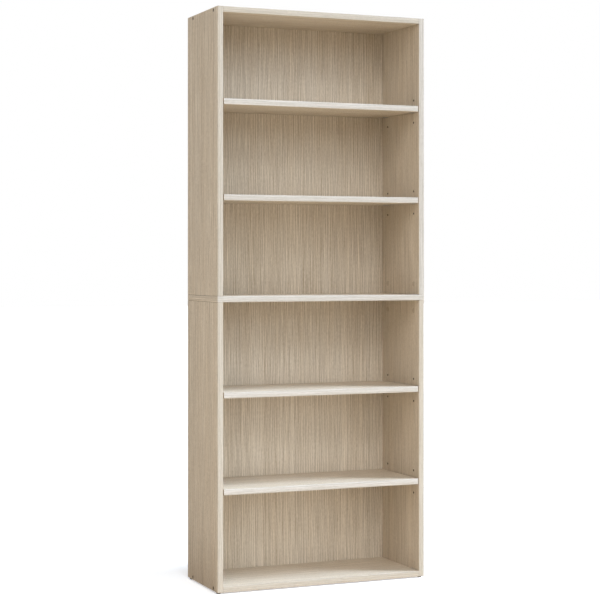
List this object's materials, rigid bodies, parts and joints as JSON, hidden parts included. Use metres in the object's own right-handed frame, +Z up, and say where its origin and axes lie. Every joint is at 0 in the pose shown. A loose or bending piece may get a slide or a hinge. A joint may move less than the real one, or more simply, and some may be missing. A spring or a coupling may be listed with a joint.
{
  "type": "bookcase with adjustable shelves",
  "caption": "Tall open-fronted bookcase in wood-grain board, with a fixed middle panel and loose shelves on pegged supports that can be re-set at other heights.",
  "frame": {"origin": "on the floor, under the middle of the case's footprint", "axes": "+Z up along the height, +X to the right of someone who faces the open front, -Y out of the open front"},
  "size_m": [0.708, 0.282, 1.805],
  "materials": {
    "oak_laminate": "pale oak-pattern laminate with fine straight grain, satin, with lighter banded edges",
    "oak_back_laminate": "thin board printed with the same upright grain, satin",
    "zinc_plated_steel": "bright zinc plate",
    "die_cast_zinc": "dull as cast",
    "beech": "bare turned wood",
    "black_plastic": "fine matt"
  },
  "bodies": {
    "case": {"lower_left_side": "oak_laminate", "lower_right_side": "oak_laminate", "upper_left_side": "oak_laminate", "upper_right_side": "oak_laminate", "bottom_panel": "oak_laminate", "middle_panel": "oak_laminate", "top_panel": "oak_laminate", "lower_back": "oak_back_laminate", "upper_back": "oak_back_laminate", "support_1_left_front": "zinc_plated_steel", "support_1_left_rear": "zinc_plated_steel", "support_1_right_front": "zinc_plated_steel", "support_1_right_rear": "zinc_plated_steel", "support_2_left_front": "zinc_plated_steel", "support_2_left_rear": "zinc_plated_steel", "support_2_right_front": "zinc_plated_steel", "support_2_right_rear": "zinc_plated_steel", "support_3_left_front": "zinc_plated_steel", "support_3_left_rear": "zinc_plated_steel", "support_3_right_front": "zinc_plated_steel", "support_3_right_rear": "zinc_plated_steel", "support_4_left_front": "zinc_plated_steel", "support_4_left_rear": "zinc_plated_steel", "support_4_right_front": "zinc_plated_steel", "support_4_right_rear": "zinc_plated_steel", "screw_bottom_left_front": "zinc_plated_steel", "screw_bottom_left_rear": "zinc_plated_steel", "screw_bottom_right_front": "zinc_plated_steel", "screw_bottom_right_rear": "zinc_plated_steel", "screw_top_left_front": "zinc_plated_steel", "screw_top_left_rear": "zinc_plated_steel", "screw_top_right_front": "zinc_plated_steel", "screw_top_right_rear": "zinc_plated_steel", "cam_lower_left_front": "die_cast_zinc", "cam_lower_left_rear": "die_cast_zinc", "cam_lower_right_front": "die_cast_zinc", "cam_lower_right_rear": "die_cast_zinc", "cam_upper_left_front": "die_cast_zinc", "cam_upper_left_rear": "die_cast_zinc", "cam_upper_right_front": "die_cast_zinc", "cam_upper_right_rear": "die_cast_zinc", "cam_bolt_left_front": "zinc_plated_steel", "cam_bolt_left_rear": "zinc_plated_steel", "cam_bolt_right_front": "zinc_plated_steel", "cam_bolt_right_rear": "zinc_plated_steel", "dowel_bottom_left": "beech", "dowel_bottom_right": "beech", "dowel_middle_left": "beech", "dowel_middle_right": "beech", "dowel_top_left": "beech", "dowel_top_right": "beech", "foot_left_front": "black_plastic", "foot_left_rear": "black_plastic", "foot_right_front": "black_plastic", "foot_right_rear": "black_plastic"},
    "shelf_1": {"shelf_1": "oak_laminate"},
    "shelf_2": {"shelf_2": "oak_laminate"},
    "shelf_3": {"shelf_3": "oak_laminate"},
    "shelf_4": {"shelf_4": "oak_laminate"}
  },
  "joints": [
    {"name": "shelf_1_draw", "type": "slide", "parent": "case", "child": "shelf_1", "axis": [0, -1, 0], "range_m": [0, 0.28]},
    {"name": "shelf_2_draw", "type": "slide", "parent": "case", "child": "shelf_2", "axis": [0, -1, 0], "range_m": [0, 0.28]},
    {"name": "shelf_3_draw", "type": "slide", "parent": "case", "child": "shelf_3", "axis": [0, -1, 0], "range_m": [0, 0.28]},
    {"name": "shelf_4_draw", "type": "slide", "parent": "case", "child": "shelf_4", "axis": [0, -1, 0], "range_m": [0, 0.28]}
  ]
}
